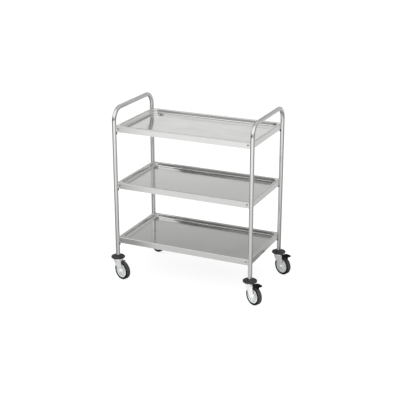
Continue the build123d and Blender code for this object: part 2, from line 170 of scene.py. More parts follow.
def soften(shape, width, segments=2, sharpest=35):
    """Rounds the sharp edges of a shape by a small width."""
    edges = [
        edge for edge in shape.edges
        if len(edge.link_faces) == 2 and edge.calc_face_angle() > math.radians(sharpest)
    ]
    bmesh.ops.bevel(
        shape, geom=edges, offset=width, segments=segments, profile=0.5, affect="EDGES", clamp_overlap=True
    )
    return shape


def moved(shape, matrix):
    """Moves a whole shape."""
    bmesh.ops.transform(shape, matrix=matrix, verts=shape.verts)
    return shape


def stood_up(shape, y):
    """Turns a flat shape so that its Y becomes Z and its thickness runs forward from y."""
    return moved(shape, Matrix(((1, 0, 0, 0), (0, 0, -1, y), (0, 1, 0, 0), (0, 0, 0, 1))))


def joined(*shapes):
    """Puts several shapes into one and frees them."""
    whole = bmesh.new()
    for shape in shapes:
        carrier = bpy.data.meshes.new("carrier")
        shape.to_mesh(carrier)
        shape.free()
        whole.from_mesh(carrier)
        bpy.data.meshes.remove(carrier)
    return whole


def linked(name, data):
    """Puts data into the scene as a new object."""
    made = bpy.data.objects.new(name, data)
    bpy.context.scene.collection.objects.link(made)
    return made


def smoothed(mesh, sharpest):
    """Shades a mesh smooth but for its edges sharper than an angle in degrees."""
    mesh.shade_smooth()
    mesh.set_sharp_from_angle(angle=math.radians(sharpest))


def piece(name, shape, place, finish_name, sharpest=35):
    """Makes a scene object of a shape, with its place in its mesh."""
    mesh = bpy.data.meshes.new(name)
    moved(shape, place).to_mesh(mesh)
    shape.free()
    smoothed(mesh, sharpest)
    mesh.materials.append(finish(finish_name))
    return linked(name, mesh)


def settle(made, body, slot, *nodes):
    """Attaches a piece to the body it moves with and hides the solids it stands for. Its slot is not used."""
    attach(made, body)
    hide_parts(*nodes)


# Finishes are filled in below and looked up by name

def finish(name):
    """The material of that name, which the finishes operator makes first."""
    return bpy.data.materials["trolley_" + name]


def dress(node, name):
    """Gives a solid of the frame its finish."""
    solid = frame["nodes"][node]
    solid.data.materials.clear()
    solid.data.materials.append(finish(name))


# Node helpers

def feed(tree, socket, value):
    """Gives an input a value, or links it to another node's output."""
    if isinstance(value, bpy.types.NodeSocket):
        tree.links.new(value, socket)
    else:
        socket.default_value = value


def add(tree, kind, inputs=None, **options):
    """Adds a node with its options and its inputs, by name or number, and gives its outputs."""
    node = tree.nodes.new(kind)
    for option, value in options.items():
        setattr(node, option, value)
    for label, value in (inputs or {}).items():
        feed(tree, node.inputs[label], value)
    return node.outputs


def spread(tree, value, low, high, from_low=0.0, from_high=1.0):
    """Maps a number from one range to another, held at its ends."""
    limits = {"From Min": from_low, "From Max": from_high, "To Min": low, "To Max": high}
    return add(tree, "ShaderNodeMapRange", {"Value": value, **limits})["Result"]


def worked(tree, operation, first, second=0.0):
    """The result of an operation on two numbers."""
    return add(tree, "ShaderNodeMath", {0: first, 1: second}, operation=operation)[0]


def times(tree, first, second):
    """The product of two numbers."""
    return worked(tree, "MULTIPLY", first, second)


def plus(tree, total, *others):
    """The sum of numbers."""
    for other in others:
        total = worked(tree, "ADD", total, other)
    return total


def vector(tree, **parts):
    """A vector from its X, Y and Z."""
    return add(tree, "ShaderNodeCombineXYZ", parts)[0]


def vector_maths(tree, operation, first, second=(0.0, 0.0, 0.0), output=0):
    """The result of an operation on two vectors."""
    return add(tree, "ShaderNodeVectorMath", {0: first, 1: second}, operation=operation)[output]


# Shader node groups: effects that several finishes share

def start_group(name, kind, inputs, outputs):
    """A new node group. A socket is given by the name of its kind, or by its usual value."""
    tree = bpy.data.node_groups.new(name, kind)
    kinds = {float: "Float", int: "Int", tuple: "Vector"}
    for in_out, sockets in (("INPUT", inputs), ("OUTPUT", outputs)):
        for label, value in sockets.items():
            usual = not isinstance(value, str)
            socket_type = "NodeSocket" + (kinds[type(value)] if usual else value)
            socket = tree.interface.new_socket(label, in_out=in_out, socket_type=socket_type)
            if usual:
                socket.default_value = value
    return tree, add(tree, "NodeGroupInput")


def noise(tree, place, scale, detail, roughness=0.5):
    """A noise value from 0 to 1 over a place."""
    settings = {"Vector": place, "Scale": scale, "Detail": detail, "Roughness": roughness}
    return add(tree, "ShaderNodeTexNoise", settings)["Fac"]


def make_grain_group():
    """Fine lines left by a polishing belt, with longer streaks in them."""
    usual = {"Position": (0, 0, 0), "Stretch": (8, 900, 900), "Streaks": 0.5}
    tree, given = start_group("Brushed Grain", "ShaderNodeTree", usual, {"Height": "Float"})
    squeezed = vector_maths(tree, "MULTIPLY", given["Position"], given["Stretch"])
    longer = vector_maths(tree, "MULTIPLY", squeezed, (0.25, 0.22, 0.22))
    streaks = times(tree, noise(tree, longer, 1.0, 2.0), given["Streaks"])
    height = plus(tree, noise(tree, squeezed, 1.0, 3.0, 0.6), streaks)
    add(tree, "NodeGroupOutput", {"Height": height})


def make_handling_group():
    """Broad cloudy smudges and faint wiping marks from use and cleaning."""
    usual, outputs = {"Position": (0, 0, 0), "Size": 6.0}, {"Clouds": "Float", "Wipes": "Float"}
    tree, given = start_group("Handling Marks", "ShaderNodeTree", usual, outputs)
    clouds = noise(tree, given["Position"], given["Size"], 3.0, 0.55)
    turned = add(tree, "ShaderNodeMapping", {
        "Vector": given["Position"], "Rotation": (0.0, 0.0, 0.5), "Scale": (6.0, 40.0, 6.0),
    })
    wipes = spread(tree, noise(tree, turned[0], 1.0, 4.0, 0.7), 0.0, 1.0, 0.45, 0.8)
    add(tree, "NodeGroupOutput", {"Clouds": clouds, "Wipes": wipes})


def make_moulding_group():
    """The fine texture and faint shade changes of moulded plastic and rubber."""
    usual, outputs = {"Position": (0, 0, 0), "Fineness": 1400.0}, {"Height": "Float", "Shade": "Float"}
    tree, given = start_group("Moulded Skin", "ShaderNodeTree", usual, outputs)
    skin = noise(tree, given["Position"], given["Fineness"], 2.0)
    shade = noise(tree, given["Position"], 35.0, 3.0)
    add(tree, "NodeGroupOutput", {"Height": skin, "Shade": shade})


def start_finish(name):
    """A new material's tree, its shader's inputs and its position."""
    made = bpy.data.materials.new("trolley_" + name)
    made.use_nodes = True
    tree = made.node_tree
    shader = next(node for node in tree.nodes if node.type == "BSDF_PRINCIPLED")
    return tree, shader.inputs, add(tree, "ShaderNodeTexCoord")["Object"]


def shared(tree, name, **inputs):
    """The outputs of a shared effect that is placed in a finish with its own values."""
    return add(tree, "ShaderNodeGroup", inputs, node_tree=bpy.data.node_groups[name])


def tinted(tree, surface, mask, colour, darker, lighter):
    """Lets a mask take the base colour from a darker to a lighter shade."""
    dark = tuple(part * darker for part in colour) + (1.0,)
    light = tuple(min(1.0, part * lighter) for part in colour) + (1.0,)
    tint = add(tree, "ShaderNodeMix", {0: mask, 6: dark, 7: light}, data_type="RGBA")
    feed(tree, surface["Base Color"], tint[2])


def embossed(tree, surface, height, strength, depth):
    """Gives a surface a relief."""
    relief = add(tree, "ShaderNodeBump", {"Height": height, "Strength": strength, "Distance": depth})
    feed(tree, surface["Normal"], relief["Normal"])


def steel_finish(
    name, colour, roughness, stretch, bump=0.03, clouds=0.03, place_attribute=None, brushed_along_x=0.0,
    metal=1.0,
):
    """Brushed or drawn steel: grain along one way and cloudy handling marks."""
    tree, surface, position = start_finish(name)
    if brushed_along_x:
        normal = add(tree, "ShaderNodeNewGeometry")["Normal"]
        feed(tree, surface["Anisotropic"], brushed_along_x)
        feed(tree, surface["Tangent"], vector_maths(tree, "CROSS_PRODUCT", normal, (1.0, 0.0, 0.05)))
    grain_place = position
    if place_attribute:
        grain_place = add(tree, "ShaderNodeAttribute", attribute_name=place_attribute)["Vector"]
    grain = shared(tree, "Brushed Grain", Position=grain_place, Stretch=stretch, Streaks=0.5)
    marks = shared(tree, "Handling Marks", Position=position, Size=5.0)
    feed(tree, surface["Metallic"], metal)
    tinted(tree, surface, marks["Clouds"], colour, 0.95, 1.03)
    brushed = spread(tree, grain["Height"], roughness - 0.06, roughness + 0.06, 0.35, 1.1)
    clouded = spread(tree, marks["Clouds"], -clouds, clouds, 0.3, 0.7)
    feed(tree, surface["Roughness"], plus(tree, brushed, clouded, times(tree, marks["Wipes"], clouds)))
    embossed(tree, surface, grain["Height"], bump, 0.0005)


def moulded_finish(name, colour, roughness, fineness=1400.0, bump=0.08, shade=0.2, gloss=0.35):
    """Moulded plastic or rubber: a fine skin whose shade changes a little."""
    tree, surface, position = start_finish(name)
    feed(tree, surface["IOR"], 1 + gloss)
    skin = shared(tree, "Moulded Skin", Position=position, Fineness=fineness)
    tinted(tree, surface, skin["Shade"], colour, 1 - shade, 1 + shade)
    worn = spread(tree, skin["Shade"], roughness - 0.07, roughness + 0.07, 0.3, 0.7)
    feed(tree, surface["Roughness"], worn)
    embossed(tree, surface, skin["Height"], bump, 0.0003)


# Geometry Nodes trees: shapes that follow a path or repeat

def start_shape_tree(name, sizes):
    """A new Geometry Nodes tree that takes a shape, named sizes and a finish, and gives a shape."""
    inputs = {"Geometry": "Geometry", **sizes, "Finish": "Material"}
    return start_group(name, "GeometryNodeTree", inputs, {"Geometry": "Geometry"})


def end_shape_tree(tree, given, *shapes):
    """Ends a tree: its shapes joined, their copies made real, and given its finish."""
    together = tree.nodes.new("GeometryNodeJoinGeometry")
    for shape in shapes:
        tree.links.new(shape, together.inputs[0])
    real = add(tree, "GeometryNodeRealizeInstances", {0: together.outputs[0]})
    painted = add(tree, "GeometryNodeSetMaterial", {"Geometry": real[0], "Material": given["Finish"]})
    add(tree, "NodeGroupOutput", {"Geometry": painted["Geometry"]})
    return tree


def copies(tree, points, shape, rotation):
    """The given shape, turned, at each point."""
    placed = {"Points": points, "Instance": shape, "Rotation": rotation}
    return add(tree, "GeometryNodeInstanceOnPoints", placed)["Instances"]


def grown(name, template, tree, sizes, finish_name, place, sharpest=35):
    """Runs a tree on a template shape and keeps the result as a plain mesh object."""
    mesh = bpy.data.meshes.new(name + "_template")
    if template is not None:
        template.to_mesh(mesh)
        template.free()
    carrier = linked(name + "_carrier", mesh)
    modifier = carrier.modifiers.new("Grow", "NODES")
    modifier.node_group = tree
    sockets = {item.name: item.identifier for item in tree.interface.items_tree if item.in_out == "INPUT"}
    for label, value in {**sizes, "Finish": finish(finish_name)}.items():
        modifier[sockets[label]] = value
    depsgraph = bpy.context.evaluated_depsgraph_get()
    made = bpy.data.meshes.new_from_object(
        carrier.evaluated_get(depsgraph), preserve_all_data_layers=True, depsgraph=depsgraph
    )
    made.name = name
    bpy.data.objects.remove(carrier)
    bpy.data.meshes.remove(mesh)
    made.transform(place)
    made.polygons.foreach_set("material_index", [0] * len(made.polygons))
    made.materials.clear()
    made.materials.append(finish(finish_name))
    smoothed(made, sharpest)
    return linked(name, made)


def measured(tree, curve, label, measure):
    """A curve whose points carry a measure along it, for later use."""
    kept = tree.nodes.new("GeometryNodeCaptureAttribute")
    kept.capture_items.new("FLOAT", label)
    feed(tree, kept.inputs["Geometry"], curve)
    feed(tree, kept.inputs[label], add(tree, "GeometryNodeSplineParameter")[measure])
    return kept.outputs


def tube_tree(sizes):
    """A bent tube: a path up one post, across the handle and down the other, with round bends."""
    tree, given = start_shape_tree("Bent Tube", sizes)
    back, front = times(tree, given["Depth"], 0.5), times(tree, given["Depth"], -0.5)
    foot, handle = given["Foot Height"], given["Handle Height"]
    stops = ((front, foot), (front, handle), (back, handle), (back, foot))
    corners = {f"Point {number}": vector(tree, Y=y, Z=z) for number, (y, z) in enumerate(stops, 1)}
    line = add(tree, "GeometryNodeCurvePrimitiveQuadrilateral", corners, mode="POINTS")
    opened = add(tree, "GeometryNodeSetSplineCyclic", {"Geometry": line["Curve"]})
    bends = {"Curve": opened[0], "Count": 28, "Radius": given["Bend Radius"]}
    bent = add(tree, "GeometryNodeFilletCurve", bends, mode="POLY")
    ring = add(tree, "GeometryNodeCurvePrimitiveCircle", {"Resolution": 56, "Radius": given["Tube Radius"]})
    path = measured(tree, bent["Curve"], "Along", "Length")
    edge = measured(tree, ring["Curve"], "Around", "Factor")
    wall = add(tree, "GeometryNodeCurveToMesh", {
        "Curve": path["Geometry"], "Profile Curve": edge["Geometry"], "Fill Caps": True,
    })
    turn = times(tree, edge["Around"], 2 * math.pi)
    x, y = [times(tree, worked(tree, wave, turn), given["Tube Radius"]) for wave in ("COSINE", "SINE")]
    stored = add(tree, "GeometryNodeStoreNamedAttribute", {
        "Geometry": wall["Mesh"], "Name": "tube_place", "Value": vector(tree, X=x, Y=y, Z=path["Along"]),
    }, data_type="FLOAT_VECTOR", domain="POINT")
    return end_shape_tree(tree, given, stored["Geometry"])


def screw_rows_tree(sizes):
    """Screws in rows: the given screw at both ends of each tray's long sides."""
    tree, given = start_shape_tree("Screws On The Fascias", sizes)
    rise = vector(tree, Z=given["Tray Pitch"])
    heights = add(tree, "GeometryNodeMeshLine", {"Count": given["Trays"], "Offset": rise})["Mesh"]
    rows = []
    for side in (-1, 1):
        for end in (-1, 1):
            x, y = times(tree, given["End Distance"], end), times(tree, given["Side Distance"], side)
            points = add(tree, "GeometryNodeSetPosition", {
                "Geometry": heights, "Offset": vector(tree, X=x, Y=y, Z=given["Lowest Height"]),
            })
            outward = (-side * math.pi / 2, 0, 0)
            rows.append(copies(tree, points["Geometry"], given["Geometry"], outward))
    return end_shape_tree(tree, given, *rows)


def spokes_tree(sizes):
    """Ribs set round a hub on both faces of a web, joined to the given wheel body."""
    tree, given = start_shape_tree("Ribs Round A Hub", sizes)
    ring = add(tree, "GeometryNodeMeshCircle", {"Vertices": given["Ribs"], "Radius": given["Middle Radius"]})
    size = vector(tree, X=given["Rib Length"], Y=given["Rib Thickness"], Z=given["Rib Width"])
    rib = add(tree, "GeometryNodeMeshCube", {"Size": size, "Vertices X": 3, "Vertices Y": 3, "Vertices Z": 3})
    outward = add(tree, "GeometryNodeInputPosition")[0]
    facing = add(tree, "FunctionNodeAlignRotationToVector", {"Vector": outward}, axis="X")["Rotation"]
    ribs = copies(tree, ring["Mesh"], rib["Mesh"], facing)
    return end_shape_tree(tree, given, given["Geometry"], ribs)


def grip_tree(sizes):
    """Grip bars in a row across a pedal, joined to the given pedal."""
    tree, given = start_shape_tree("Grip Bars", sizes)
    start = vector(tree, X=given["First Along"], Z=given["Bar Height"])
    step = vector(tree, X=given["Spacing"])
    row = add(tree, "GeometryNodeMeshLine", {"Count": given["Bars"], "Start Location": start, "Offset": step})
    bar = add(tree, "GeometryNodeMeshCylinder", {
        "Vertices": 16, "Radius": times(tree, given["Bar Thickness"], 0.5), "Depth": given["Bar Width"],
    })
    bars = copies(tree, row["Mesh"], bar["Mesh"], (math.pi / 2, 0, 0))
    return end_shape_tree(tree, given, given["Geometry"], bars)


# Shapes of the small parts

def screw_shape(radius, height, shank_radius, shank_length):
    """A pan-head screw with a cross recess. Z is outward from the face it sits on."""
    section = rounded([
        (radius * 0.62, height, 0), (radius, height, height * 0.75), (radius, 0.0, 0), (shank_radius, 0.0, 0),
        (shank_radius, -shank_length, shank_radius * 0.2), (0.0, -shank_length, 0),
    ], 5)
    shape = bmesh.new()
    rings = spun(shape, section, 40)
    for here, there in pairs(rings):
        for index in range(len(section) - 1):
            shape.faces.new((here[index], there[index], there[index + 1], here[index + 1]))
    slot, reach, depth, taper = radius * 0.16, radius * 0.56, height * 0.8, 0.55
    cross = [(reach, -slot), (reach, slot), (slot, slot)]
    for _ in range(3):
        cross += [(-y, x) for x, y in cross[-3:]]
    mouth = [shape.verts.new((x, y, height)) for x, y in cross]
    floor = [shape.verts.new((x * taper, y * taper, height - depth)) for x, y in cross]
    walled(shape, mouth, floor)
    shape.faces.new(floor)
    edges = [shape.edges.get((here[0], there[0])) for here, there in pairs(rings)]
    edges += [shape.edges.get(ends) for ends in pairs(mouth)]
    bmesh.ops.triangle_fill(shape, edges=edges, use_beauty=True, use_dissolve=False)
    return cleaned(shape)


def hexagon(flats):
    """A hexagon of that size across its flats."""
    corner, turns = flats / math.sqrt(3), [turn * math.pi / 3 for turn in range(6)]
    return [(corner * math.cos(turn), corner * math.sin(turn)) for turn in turns]


def washer(inner, outer, low, high):
    """A flat washer with eased edges."""
    ease = (high - low) * 0.3
    return lathe(rounded([(inner, low, 0), (outer, low, ease), (outer, high, ease), (inner, high, 0)], 3), 48)


def leg_edge(sizes, height, side):
    """Where a leg's front edge (side -1) or back edge (side 1) is at a height, from the stem."""
    foot, offset, above_axle = sizes.foot_radius, sizes.trail, height - sizes.wheel_radius
    reach = (sizes.back_reach - offset) if side > 0 else (sizes.front_reach + offset)
    drop = sizes.crown_top - sizes.shoulder - sizes.wheel_radius
    if above_axle >= drop:
        return offset + side * reach
    touch = math.atan2(drop, reach) - math.acos(min(1.0, foot / math.hypot(reach, drop)))
    touch_x, touch_z = foot * math.cos(touch), foot * math.sin(touch)
    if above_axle >= touch_z:
        climbed = (above_axle - touch_z) / (drop - touch_z)
        return offset + side * (touch_x + (reach - touch_x) * climbed)
    return offset + side * math.sqrt(max(0.0, foot * foot - above_axle ** 2))


def fork_path(sizes, outer):
    """The fork's outer face from foot to foot: at each step its y and z, and how it faces in y and z."""
    foot, bend, top, axle_z = sizes.foot_radius, sizes.fork_bend, sizes.crown_top, sizes.wheel_radius
    foot_steps, leg_steps, fold_steps, crown_steps = 12, 14, 6, 8
    heights = [axle_z - foot * math.cos(step * math.pi / 16) for step in range(1, foot_steps + 1)]
    rise = top - bend - heights[-1]
    heights += [heights[-1] + rise * step / leg_steps for step in range(1, leg_steps + 1)]
    path = [(-outer, height, -1.0, 0.0) for height in heights]
    for step in range(1, fold_steps + 1):
        turn = step / fold_steps * math.pi / 2
        across, rise = math.cos(turn), math.sin(turn)
        path.append((-(outer - bend + bend * across), top - bend + bend * rise, -across, rise))
    path += [(-(outer - bend) * (1 - step / crown_steps), top, 0.0, 1.0) for step in range(1, crown_steps)]
    other_side = [(-y, z, -across, rise) for y, z, across, rise in reversed(path)]
    return path + [(0.0, top, 0.0, 1.0)] + other_side


def swage_at(sizes, x, z, start, end):
    """How far the stiffening swage stands out of a leg at a place."""
    height, run_out = 0.0008, 0.006
    bottom, top = sizes.wheel_radius + sizes.foot_radius * 1.2, sizes.crown_top - 0.012
    rise = max(0.0, min(1.0, (z - bottom) / run_out)) * max(0.0, min(1.0, (top - z) / run_out))
    away = abs(x - (start + end) / 2) / max(1e-6, (end - start) / 2)
    return height * rise * max(0.0, min(1.0, (0.6 - away) / 0.15))


def fork_shape(sizes, braked):
    """A pressed fork: one sheet folded into a crown and two legs, with a cup for the balls on top."""
    sheet, top = sizes.fork_sheet, sizes.crown_top
    outer = sizes.fork_gap / 2 + sheet
    path = fork_path(sizes, outer)
    ahead, behind = 8, 5
    shape = bmesh.new()
    outside, inside = [], []
    for y, z, across, rise in path:
        start, end = leg_edge(sizes, z, -1), leg_edge(sizes, z, 1)
        split = min(max(sizes.window_reach, start + (end - start) * 0.35), start + (end - start) * 0.85)
        columns = [start + (split - start) * step / ahead for step in range(ahead + 1)]
        columns += [split + (end - split) * step / behind for step in range(1, behind + 1)]
        swages = [swage_at(sizes, x, z, start, end) if abs(across) > 0.999 else 0.0 for x in columns]
        places = list(zip(columns, swages))
        outside.append([shape.verts.new((x, y + across * swage, z)) for x, swage in places])
        inside.append([
            shape.verts.new((x, y + across * (swage - sheet), z - rise * sheet)) for x, swage in places
        ])
    for row in range(len(path) - 1):
        on_crown = min(path[row][3], path[row + 1][3]) > 0.999
        for step in range(ahead if on_crown else ahead + behind):
            for line in (outside, inside):
                near, far = line[row][step:step + 2], line[row + 1][step:step + 2]
                shape.faces.new((*near, *reversed(far)))
    partner = {vert: inside[row][step] for row, line in enumerate(outside) for step, vert in enumerate(line)}
    for edge in [edge for edge in shape.edges if len(edge.link_faces) == 1 and edge.verts[0] in partner]:
        first, second = edge.verts
        shape.faces.new((first, second, partner[second], partner[first]))
    bmesh.ops.delete(shape, geom=[vert for vert in shape.verts if not vert.link_faces], context="VERTS")
    cleaned(shape, 1e-6)
    bore, rim, under = sizes.stem_radius + 0.00005, sizes.crown_radius, top - sheet * 0.9
    inner_rim, seat, lip = rim - sizes.cup_wall, top + 0.0002, top + sizes.cup_height
    cup = lathe(rounded([
        (bore, under, 0), (rim, under, 0.0006), (rim, lip, 0.0008), (inner_rim, lip, 0.0008),
        (inner_rim, seat, 0.0008), (bore, seat, 0),
    ], 4))
    parts = [shape, cup]
    along, up, reach, root = sizes.pivot_along, sizes.pivot_height, sizes.ear_radius, top - 0.004
    turns = [turn * math.pi / 12 for turn in range(13)]
    ear = [(along + reach * math.cos(turn), up + reach * math.sin(turn)) for turn in turns]
    ear = [(ear[0][0], root)] + ear + [(ear[-1][0], root)]
    for side in (-1, 1) if braked else ():
        plate = soften(slab(ear, 0.0, sheet), 0.0003)
        parts.append(stood_up(plate, side * (outer - sheet / 2) + sheet / 2))
    return joined(*parts)


def axle_shape(sizes):
    """The axle bolt with its chamfered head, two washers and a lock nut; Z runs along the axle."""
    side, flats, washer_sheet = sizes.fork_gap / 2 + sizes.fork_sheet, 0.0128, 0.0009
    head = soften(slab(hexagon(flats), side + 0.0008, side + 0.0049), 0.0005)
    boss = lathe([
        (0.0, side + 0.0046), (0.0052, side + 0.0046), (0.0049, side + 0.0050), (0.0, side + 0.0050),
    ], 32)
    nut = soften(slab(hexagon(flats), -side - 0.0058, -side - 0.0008), 0.0005)
    collar = lathe(rounded([
        (0.0041, -side - 0.0065, 0), (0.0041, -side - 0.0056, 0), (0.0058, -side - 0.0056, 0),
        (0.0056, -side - 0.0065, 0.0004),
    ], 3), 40)
    shank = lathe([
        (0.0, -side - 0.0084), (0.0033, -side - 0.0084), (0.0039, -side - 0.0078), (0.0039, side),
        (0.0, side),
    ], 40)
    washers = [washer(0.0042, 0.0082, low, low + washer_sheet) for low in (side, -side - washer_sheet)]
    return joined(head, boss, nut, collar, shank, *washers)


def tyre_outline(sizes):
    """The tyre's section: a slightly crowned tread, round shoulders and a groove in each side."""
    outer, side = sizes.wheel_radius, -sizes.tyre_width / 2
    inner, groove = outer - sizes.tyre_thickness + 0.00003, side + 0.0005
    return rounded(mirrored([
        (inner, side + 0.0002, 0.0002), (inner + 0.0022, side, 0.0006), (inner + 0.0026, groove, 0.0002),
        (inner + 0.0034, groove, 0.0002), (inner + 0.0038, side, 0.0006), (outer - 0.0003, side, 0.0038),
        (outer, -0.0006, 0.004),
    ]))


def centre_outline(sizes):
    """The wheel centre's section: rim, thin web and a long hub round the sleeve."""
    rim, half = sizes.wheel_radius - sizes.tyre_thickness, sizes.tyre_width / 2 - 0.0008
    bore, hub, web = 0.00605, sizes.fork_gap / 2 - 0.0016, 0.0025
    return rounded(mirrored([
        (bore, hub, 0.0004), (0.0112, hub, 0.0008), (0.0120, web, 0.0020), (rim - 0.0052, web, 0.0020),
        (rim - 0.0040, half, 0.0006), (rim, half, 0.0003),
    ]), 5)


def guard_shape():
    """Two thin dished discs, one on each side of the hub, that keep thread off it."""
    bore, low, high = 0.0066, 0.0139, 0.0149
    outline = rounded([
        (bore, low, 0), (0.0125, low, 0.0003), (0.0190, low, 0.0003), (0.0200, low, 0.0003),
        (0.0200, low + 0.0005, 0.0003), (0.0188, high, 0.0006), (0.0145, high, 0.0004),
        (0.0140, high - 0.0004, 0.0002), (0.0128, high - 0.0004, 0.0002), (0.0123, high, 0.0004),
        (bore, high, 0.0003),
    ], 3)
    near, far = lathe(outline, 72), moved(lathe(outline, 72), Matrix.Scale(-1, 4, UP))
    bmesh.ops.recalc_face_normals(far, faces=far.faces)
    return joined(near, far)


def pedal_shape(sizes):
    """The foot pedal in the castor's axes: a round-cornered paddle, a cranked arm and a hub on the pin."""
    half, start, end, low, high = 0.015, 0.0445, 0.082, 0.1115, 0.1173
    plan = rounded([(start, -half, 0.002), (end, -half, 0.007), (end, half, 0.007), (start, half, 0.002)], 8)
    paddle = soften(slab(plan, low, high), 0.0011, 3, 50)
    pivot, height, arm_half, hub_half = sizes.pivot_along, sizes.pivot_height, 0.0143, 0.01445
    arm_side = rounded([
        (pivot, height - 0.0025, 0), (0.0452, height - 0.0025, 0.002), (0.0515, low + 0.0012, 0.002),
        (0.0515, high - 0.0012, 0.0005), (0.0455, high - 0.0006, 0.002), (0.0395, height + 0.0025, 0.003),
        (pivot, height + 0.0025, 0),
    ], 5)
    arm = stood_up(soften(slab(arm_side, 0.0, 2 * arm_half), 0.0006, 2, 60), arm_half)
    hub = lathe(rounded(mirrored([(0.00255, -hub_half, 0), (0.0045, -hub_half, 0.0005)]), 3), 40)
    moved(hub, Matrix.Translation((pivot, 0, height)) @ Matrix.Rotation(math.pi / 2, 4, "X"))
    return joined(paddle, arm, hub)


# Settings that a user would change

def setting(kind, **options):
    """A maker of settings of one kind, each from a name, a description and its usual value."""
    return lambda name, description, value: kind(name=name, description=description, default=value, **options)


length = setting(bpy.props.FloatProperty, unit="LENGTH", min=0.0, precision=4)
share = setting(bpy.props.FloatProperty, subtype="FACTOR", min=0.0, max=1.0)
angle = setting(bpy.props.FloatProperty, subtype="ANGLE", unit="ROTATION")
focal_length = setting(bpy.props.FloatProperty, unit="CAMERA")
count = setting(bpy.props.IntProperty, min=3, max=40)
colour = setting(bpy.props.FloatVectorProperty, subtype="COLOR", size=3, min=0.0, max=1.0)
point = setting(bpy.props.FloatVectorProperty, subtype="TRANSLATION", unit="LENGTH")


class TrolleyFinishSettings(bpy.types.PropertyGroup):
    """Colours and shine of the finishes."""

    tube_colour: colour("Tube colour", "Polished tube of the end frames", (0.62, 0.62, 0.615))
    tube_roughness: share("Tube roughness", "How dull the tubes are", 0.14)
    tray_colour: colour("Tray colour", "Sheet steel of the trays", (0.65, 0.65, 0.64))
    tray_roughness: share("Tray roughness", "How dull the trays are", 0.13)
    zinc_colour: colour("Fork colour", "Bright zinc of the castor forks", (0.88, 0.88, 0.89))
    bumper_colour: colour("Bumper colour", "Dark grey rubber of the wall bumpers", (0.030, 0.0307, 0.031))
    tyre_colour: colour("Tyre colour", "Black rubber of the tyres' sides", (0.006, 0.006, 0.0065))
    wheel_colour: colour("Wheel centre colour", "Pale grey plastic of the wheel centres", (0.62, 0.64, 0.635))
    tread_colour: colour("Tread colour", "Worn grey rubber of the treads", (0.045, 0.046, 0.047))
    pedal_colour: colour("Pedal colour", "Black plastic of the brake pedals", (0.006, 0.006, 0.0065))


class TrolleyFrameSettings(bpy.types.PropertyGroup):
    """Sizes of the end frames and of the screws that hold the trays."""

    depth: length("Depth between posts", "From the front post to the back post", 0.42)
    handle_height: length("Handle height", "Height of the handle's middle line", 0.929)
    foot_height: length("Foot height", "Height of the tube's lower end", 0.1195)
    bend_radius: length("Handle bend", "Radius of the handle's bends", 0.066)
    tube_radius: length("Tube radius", "Half the tube's diameter", 0.011)
    tray_pitch: length("Tray pitch", "Height from one tray to the next", 0.305)
    lowest_screw: length("Lowest screw", "Height of the lowest row of screws", 0.218)
    screw_end_distance: length("Screw distance", "From the middle of the trolley to a screw", 0.357)
    screw_side_distance: length("Fascia distance", "From the middle of the trolley to the long fascia", 0.209)
    screw_radius: length("Screw head radius", "Half the screw head's diameter", 0.005)
    screw_height: length("Screw head height", "How far the screw heads stand out", 0.0027)


class TrolleyCastorSettings(bpy.types.PropertyGroup):
    """Sizes of the castors."""

    wheel_radius: length("Wheel radius", "Half the wheel's diameter", 0.05)
    tyre_thickness: length("Tyre thickness", "From the wheel's rim to the tread", 0.012)
    tyre_width: length("Tyre width", "Width of the tyre", 0.024)
    trail: length("Trail", "From the stem to the axle, seen from above", 0.034)
    fork_gap: length("Fork gap", "Room between the fork's legs", 0.031)
    fork_sheet: length("Fork sheet", "Thickness of the pressed fork", 0.0025)
    fork_bend: length("Fork bend", "Outer radius of the fork's folds", 0.0045)
    crown_top: length("Crown height", "Height of the fork's upper face", 0.1045)
    crown_radius: length("Cup radius", "Outer radius of the ball cup", 0.025)
    cup_wall: length("Cup wall", "Thickness of the ball cup's wall", 0.0028)
    cup_height: length("Cup height", "How far the ball cup stands up", 0.007)
    stem_radius: length("Stem radius", "Half the swivel stem's diameter", 0.006)
    foot_radius: length("Foot radius", "Radius of the legs' round ends", 0.013)
    front_reach: length("Front reach", "How far the crown reaches ahead of the stem", 0.017)
    back_reach: length("Back reach", "How far the legs reach behind the stem", 0.039)
    window_reach: length("Window reach", "Where the window between the legs starts", 0.026)
    shoulder: length("Shoulder", "Height of the legs' straight shoulders", 0.009)
    pivot_along: length("Pedal pivot distance", "From the stem to the pedal's pin", 0.033)
    pivot_height: length("Pedal pivot height", "Height of the pedal's pin", 0.1065)
    ear_radius: length("Ear radius", "Radius of the ears that hold the pin", 0.0055)
    ribs: count("Ribs", "Ribs on each wheel centre", 10)


class TrolleyStageSettings(bpy.types.PropertyGroup):
    """The camera."""

    camera_place: point("Camera place", "Where the camera stands", (2.00741, -4.3704, 2.14227))
    camera_turn: angle("Camera turn", "Turn to the left of the Y axis", math.radians(24.60))
    camera_dip: angle("Camera dip", "How far the camera looks down", math.radians(19.62))
    lens: focal_length("Lens", "Focal length in millimetres", 86.9)


# Operators, one for each group of pieces

